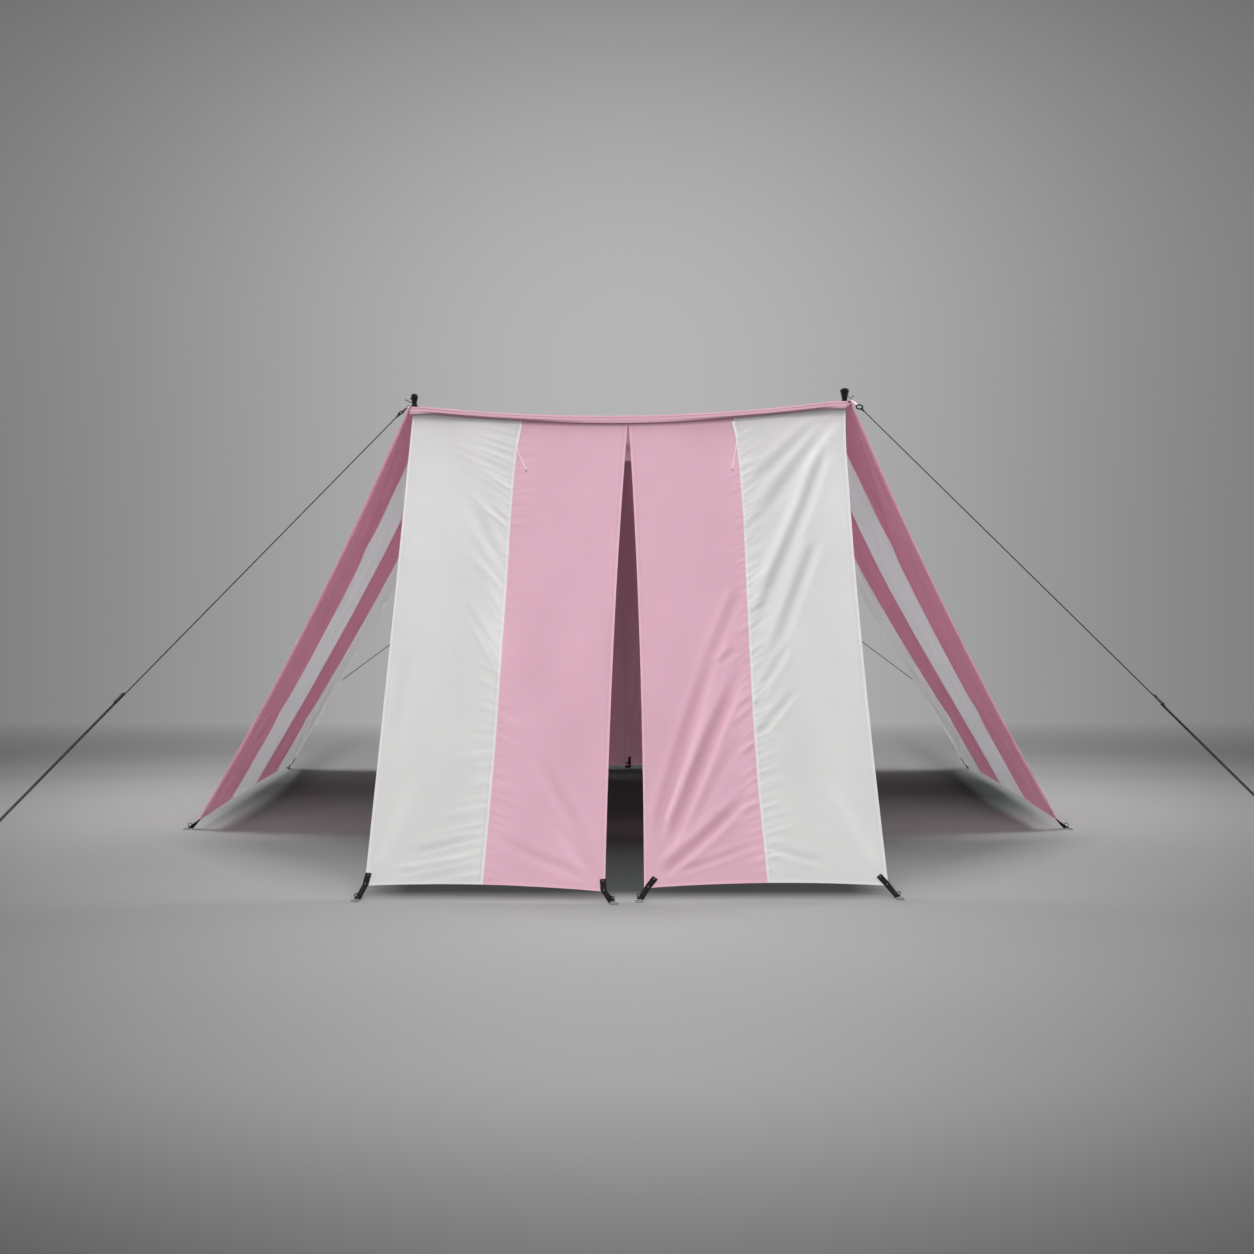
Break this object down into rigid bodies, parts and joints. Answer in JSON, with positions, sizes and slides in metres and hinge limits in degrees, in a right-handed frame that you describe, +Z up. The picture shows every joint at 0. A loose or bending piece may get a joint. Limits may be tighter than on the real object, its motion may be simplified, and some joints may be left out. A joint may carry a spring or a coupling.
{
  "type": "pole tent",
  "caption": "Square flat-roofed pole tent of striped cotton, with ground-length side wings, a splayed front wall with a slit, a closed back wall, guys and pegs.",
  "frame": {"origin": "on the ground under the middle of the roof", "axes": "+Z up, -Y towards the front wall with the slit, +X to the right of someone who faces the front"},
  "size_m": [5.3646, 5.4446, 2.0966],
  "materials": {
    "pink_cloth": "plain-woven cotton, matt",
    "white_cloth": "plain-woven cotton, matt",
    "pole_metal": "drawn tube, satin",
    "black_fitting": "moulded, matt",
    "black_strap": "grained, satin",
    "guy_cord": "braided cord",
    "tie_cord": "braided cord",
    "peg_wire": "bent wire, satin"
  },
  "bodies": {
    "root": {"roof": "pink_cloth", "front_hem": "pink_cloth", "rear_hem": "pink_cloth", "wing_left": "pink_cloth", "wing_right": "pink_cloth", "front_panel_left": "white_cloth", "front_panel_right": "white_cloth", "back_panel_left": "white_cloth", "back_panel_right": "white_cloth", "pole_front_left": "pole_metal", "pole_front_right": "pole_metal", "pole_rear_left": "pole_metal", "pole_rear_right": "pole_metal", "cap_front_left": "black_fitting", "cap_front_right": "black_fitting", "cap_rear_left": "black_fitting", "cap_rear_right": "black_fitting", "guy_front_left": "guy_cord", "guy_front_right": "guy_cord", "guy_rear_left": "guy_cord", "guy_rear_right": "guy_cord", "runner_front_left": "black_fitting", "runner_front_right": "black_fitting", "runner_rear_left": "black_fitting", "runner_rear_right": "black_fitting", "guy_peg_front_left": "peg_wire", "guy_peg_front_right": "peg_wire", "guy_peg_rear_left": "peg_wire", "guy_peg_rear_right": "peg_wire", "corner_tab_left": "pink_cloth", "corner_tab_right": "pink_cloth", "corner_ring_left": "black_fitting", "corner_ring_right": "black_fitting", "rear_tab": "pink_cloth", "strap_front_inner_left": "black_strap", "strap_front_inner_right": "black_strap", "strap_front_outer_left": "black_strap", "strap_front_outer_right": "black_strap", "strap_wing_front_left": "black_strap", "strap_wing_front_right": "black_strap", "strap_wing_rear_left": "black_strap", "strap_wing_rear_right": "black_strap", "strap_back_left": "black_strap", "strap_back_middle": "black_strap", "strap_back_right": "black_strap", "peg_front_inner_left": "peg_wire", "peg_front_inner_right": "peg_wire", "peg_front_outer_left": "peg_wire", "peg_front_outer_right": "peg_wire", "peg_wing_front_left": "peg_wire", "peg_wing_front_right": "peg_wire", "peg_wing_rear_left": "peg_wire", "peg_wing_rear_right": "peg_wire", "peg_back_left": "peg_wire", "peg_back_middle": "peg_wire", "peg_back_right": "peg_wire", "tie_tape_left": "white_cloth", "tie_tape_right": "white_cloth", "tie_cord_left": "tie_cord", "tie_cord_right": "tie_cord"}
  },
  "joints": []
}
